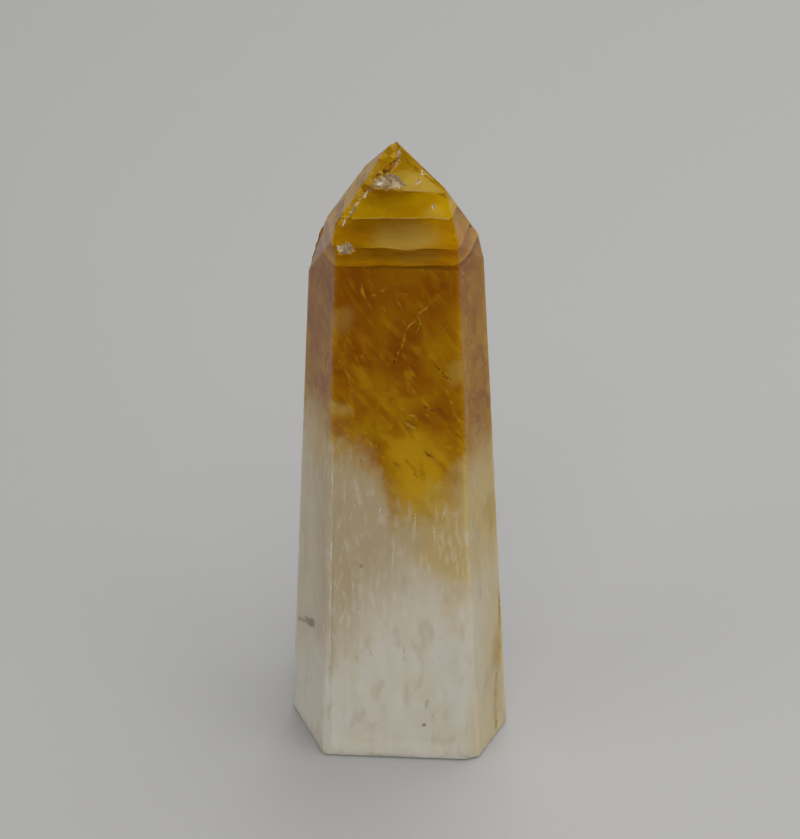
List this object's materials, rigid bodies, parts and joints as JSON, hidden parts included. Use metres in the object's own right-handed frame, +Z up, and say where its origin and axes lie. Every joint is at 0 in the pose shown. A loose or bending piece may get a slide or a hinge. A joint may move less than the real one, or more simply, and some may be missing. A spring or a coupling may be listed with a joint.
{
  "type": "golden healer quartz point",
  "caption": "Polished six-sided quartz tower on a flat foot, tapering to a faceted point, golden iron-stained at the top and milky below.",
  "frame": {"origin": "centre of the bounding box of the crystal, on the surface it stands on", "axes": "+Z up along the crystal to its tip, -Y towards the widest side face, +X to the right seen from the front"},
  "size_m": [0.0332, 0.0226, 0.0997],
  "materials": {
    "golden_quartz": "polished translucent quartz, golden at the top and milky white below"
  },
  "bodies": {
    "root": {"quartz_point": "golden_quartz"}
  },
  "joints": []
}
